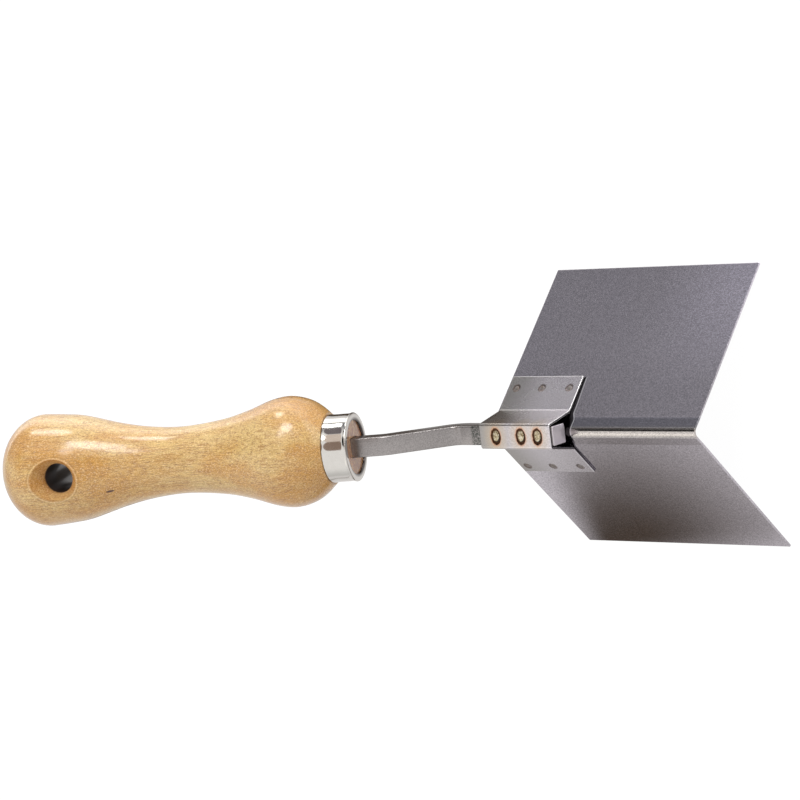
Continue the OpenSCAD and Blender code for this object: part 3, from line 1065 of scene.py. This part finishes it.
def glow(tree, shader, colour, strength):
    """Makes the surface shine, with no gloss of its own."""
    shader.inputs["Specular IOR Level"].default_value = 0
    shader.inputs["Emission Strength"].default_value = strength
    tree.set(shader.inputs["Emission Color"], colour)


def plane_mesh(name, level, material):
    """A level square under the tool."""
    mesh = bpy.data.meshes.new(name)
    corners = [(x * PLANE_HALF, y * PLANE_HALF, level) for x, y in ((-1, -1), (1, -1), (1, 1), (-1, 1))]
    mesh.from_pydata(corners, [], [(0, 1, 2, 3)])
    plane = bpy.data.objects.new(name, mesh)
    bpy.context.scene.collection.objects.link(plane)
    plane.data.materials.append(material)
    return plane


def make_floor():
    """The white light table that the camera sees. Reflections see the table top under it instead."""
    material, tree, shader, _ = new_material("floor_paper")
    shader.inputs["Base Color"].default_value = (0.1, 0.1, 0.1, 1)
    shader.inputs["Roughness"].default_value = 1
    glow(tree, shader, WHITE, FLOOR_GLOW)
    floor = plane_mesh("floor", cad_low.z - FLOOR_GAP, material)
    floor.visible_glossy = floor.visible_diffuse = False


def make_table_top():
    """What reflections and bounced light see under the tool: a glowing table top that stands in for a lit
    table, with zones of painted light, painted shadows of the tool and a lamp.
    """
    material, tree, shader, at = new_material("table_top")
    y = tree.split(at)[1]
    offset = tree.vector("SUBTRACT", at, SHADOW_STRIP_START)
    along = tree.vector("DOT_PRODUCT", offset, SHADOW_STRIP_ALONG)
    across = tree.vector("DOT_PRODUCT", offset, SHADOW_STRIP_ACROSS)
    # Painted shadow: the tool's cast shadow, as a strip and dark spots.
    dark = tree.times(tree.step(across, -0.013, 0.006), tree.step(across, 0.02, 0.13, 1, 0),
                      tree.step(along, -0.12, 0.0), tree.step(along, 0.0, 0.45, 1, 0.3))
    for spot_x, spot_y, full, end in SHADOW_SPOTS:
        away = tree.vector("DISTANCE", at, (spot_x, spot_y, cad_low.z))
        dark = tree.math("MAXIMUM", dark, tree.step(away, full, end, 1, 0))
    # Painted light: a bright zone on the +Y side, duller near and far.
    colour = tree.mix(tree.step(y, 0.13, 0.24), TABLE_NEAR, TABLE_MIDDLE)
    colour = tree.mix(tree.step(y, 0.45, 0.8), colour, TABLE_FAR)
    colour = tree.mix(dark, colour, TABLE_SHADOW)
    lamp_x, lamp_y, full, end = LAMP_SPOT
    lamp = tree.vector("DISTANCE", at, (lamp_x, lamp_y, cad_low.z))
    colour = tree.mix(tree.step(lamp, full, end, 1, 0), colour, TABLE_LAMP)
    shader.inputs["Base Color"].default_value = BLACK
    glow(tree, shader, colour, 1)
    table = plane_mesh("table_top", cad_low.z - TABLE_GAP, material)
    table.visible_camera = table.visible_shadow = False


def make_camera():
    """Looks down on the tool from its blade's end, rolled a little."""
    level = math.cos(CAMERA_ELEVATION)
    back = Vector((math.sin(CAMERA_AZIMUTH) * level, -math.cos(CAMERA_AZIMUTH) * level,
                   math.sin(CAMERA_ELEVATION)))
    level_up = (ACROSS - back * ACROSS.dot(back)).normalized()
    up = level_up * math.cos(CAMERA_ROLL) + level_up.cross(back) * math.sin(CAMERA_ROLL)
    camera = bpy.data.objects.new("camera", bpy.data.cameras.new("camera"))
    bpy.context.scene.collection.objects.link(camera)
    axes = Matrix((up.cross(back), up, back)).transposed().to_4x4()
    camera.matrix_world = Matrix.Translation(CAMERA_TARGET + back * CAMERA_DISTANCE) @ axes
    camera.data.lens = CAMERA_LENS
    camera.data.sensor_width = 36
    bpy.context.scene.camera = camera


def dress(piece, material, node):
    piece.data.materials.clear()
    piece.data.materials.append(material)
    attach(piece, "root")
    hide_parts(node)


make_camera()
make_world()
make_floor()
make_table_top()
bpy.context.scene.view_settings.view_transform = "Standard"

weld = weld_metal()
dress(make_blade(), blade_steel(), "blade")
dress(make_bracket(), bracket_steel(), "bracket")
dress(make_shank(), shank_steel(), "shank")
dress(make_shank_welds(), weld, "shank_welds")
dress(make_flange_welds(1, "left_flange_nuggets"), weld, "left_flange_welds")
dress(make_flange_welds(-1, "right_flange_nuggets"), weld, "right_flange_welds")
dress(make_ferrule(), ferrule_chrome(), "ferrule")
dress(make_handle(), handle_wood(), "handle")
